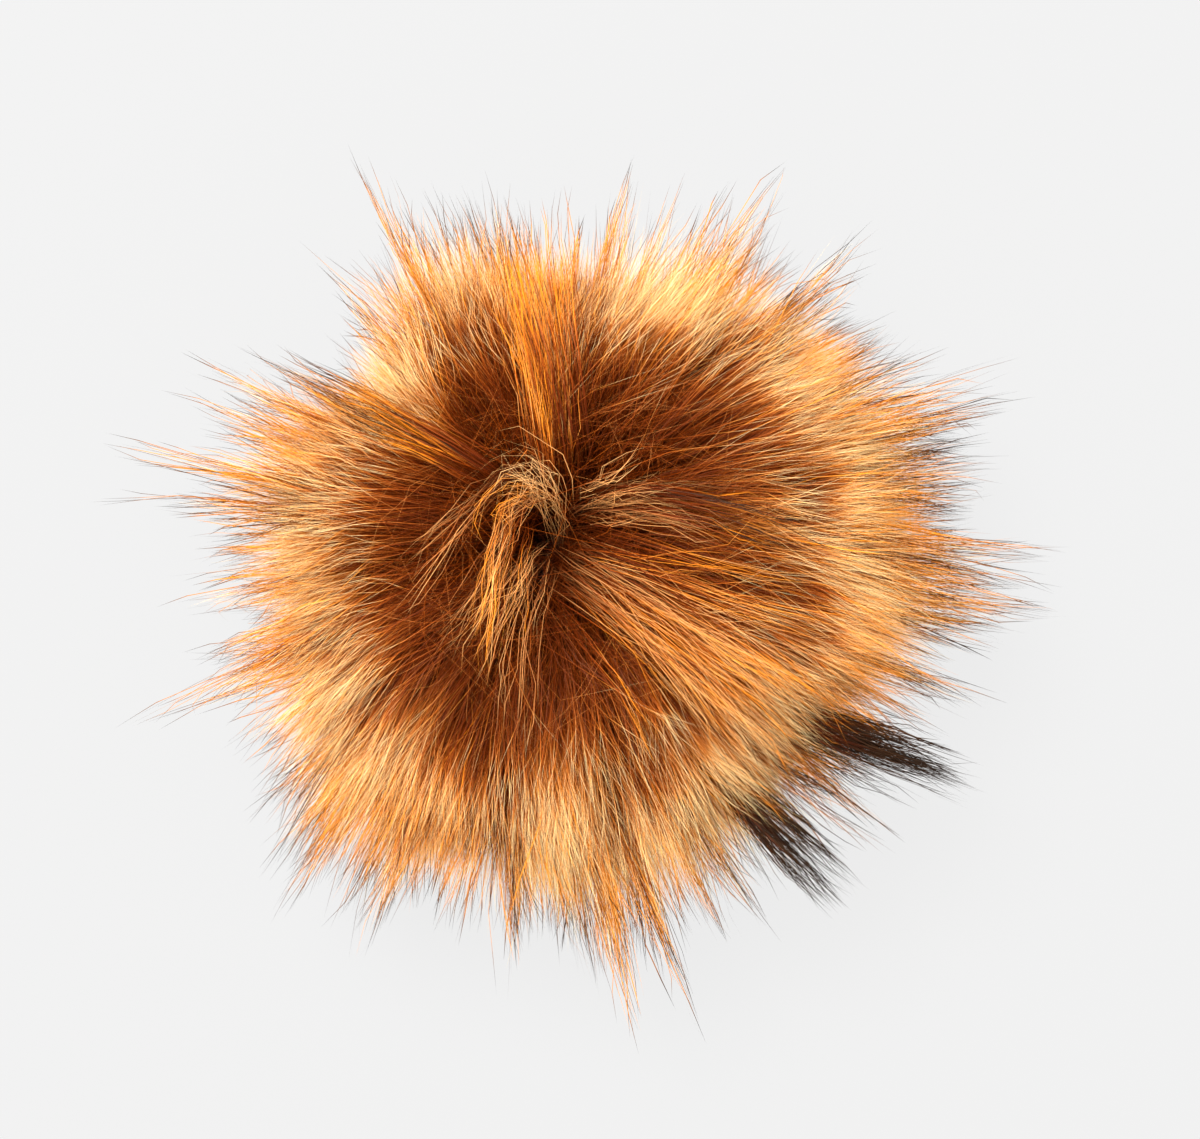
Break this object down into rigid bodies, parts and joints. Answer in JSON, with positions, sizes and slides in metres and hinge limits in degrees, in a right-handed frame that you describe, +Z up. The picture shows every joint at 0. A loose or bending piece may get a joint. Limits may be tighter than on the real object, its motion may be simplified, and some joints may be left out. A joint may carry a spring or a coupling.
{
  "type": "pom pom",
  "caption": "Round pom pom of long, dense fur with a whorl on top, gathered underneath into a small flat base that it rests on.",
  "frame": {"origin": "middle of the small flat base under the gathered neck, on the surface that the pom pom rests on", "axes": "+Z up through the whorl, the shortest way across; seen from above as pictured, +X to the right and +Y up the picture"},
  "size_m": [0.1511, 0.1436, 0.0855],
  "materials": {
    "fur": "long soft faux fur, dark brown at the roots, tan to pale cream along its length, with orange and black tips"
  },
  "bodies": {
    "root": {"pompom": "fur"}
  },
  "joints": []
}
